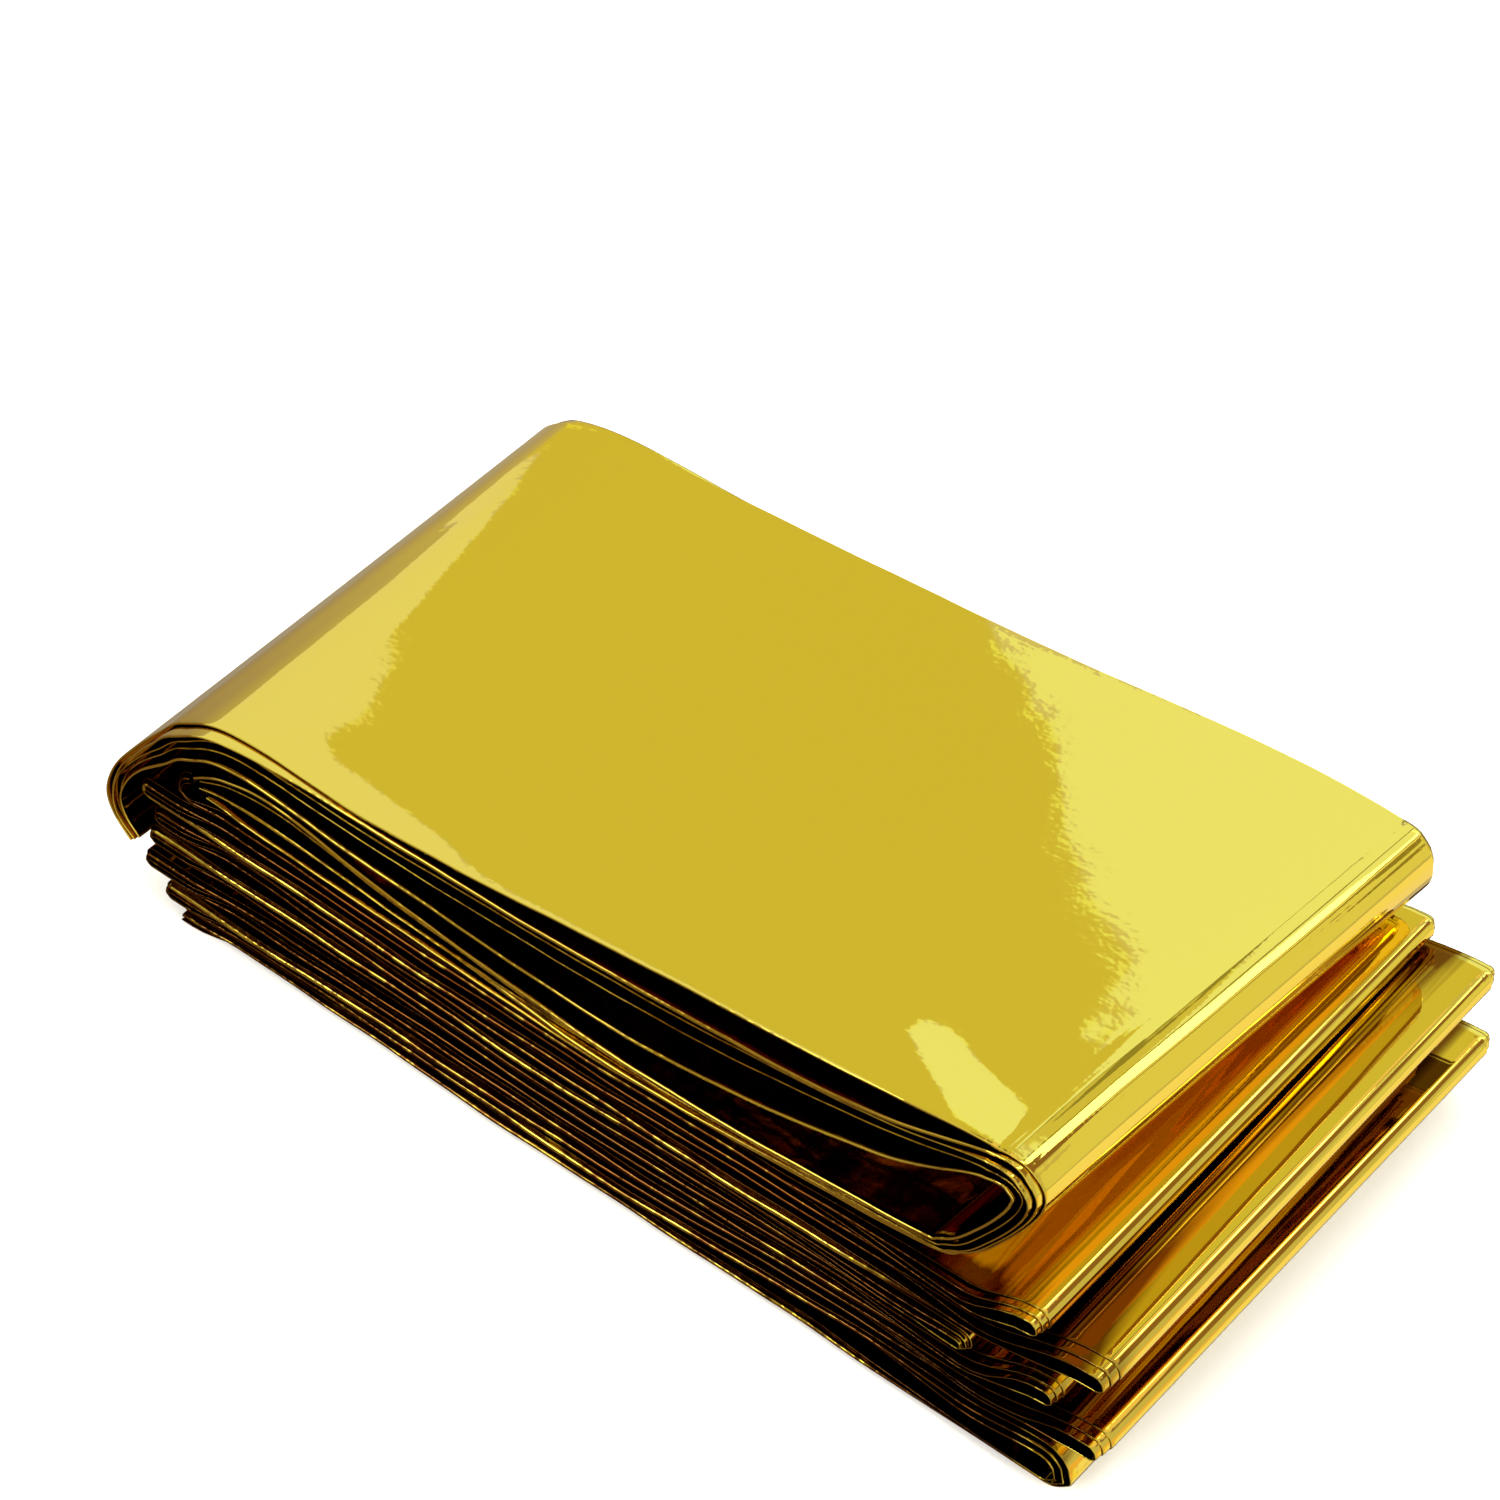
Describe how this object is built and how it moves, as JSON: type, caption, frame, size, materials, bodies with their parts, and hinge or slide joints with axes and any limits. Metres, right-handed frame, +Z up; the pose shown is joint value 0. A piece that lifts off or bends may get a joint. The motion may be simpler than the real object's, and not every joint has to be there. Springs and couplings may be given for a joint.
{
  "type": "emergency foil blanket",
  "caption": "Gold foil emergency blanket folded into a loose packet of back-and-forth runs, with the top run sprung up over a hollow.",
  "frame": {"origin": "middle of the packet's outline at the height of the flat face that it rests on", "axes": "+X along the packet towards the open right folds; -Y towards the side shown nearer in the picture; +Z up"},
  "size_m": [0.1508, 0.078, 0.0481],
  "materials": {
    "gold_film": "polished"
  },
  "bodies": {
    "root": {"foil_blanket": "gold_film"}
  },
  "joints": []
}
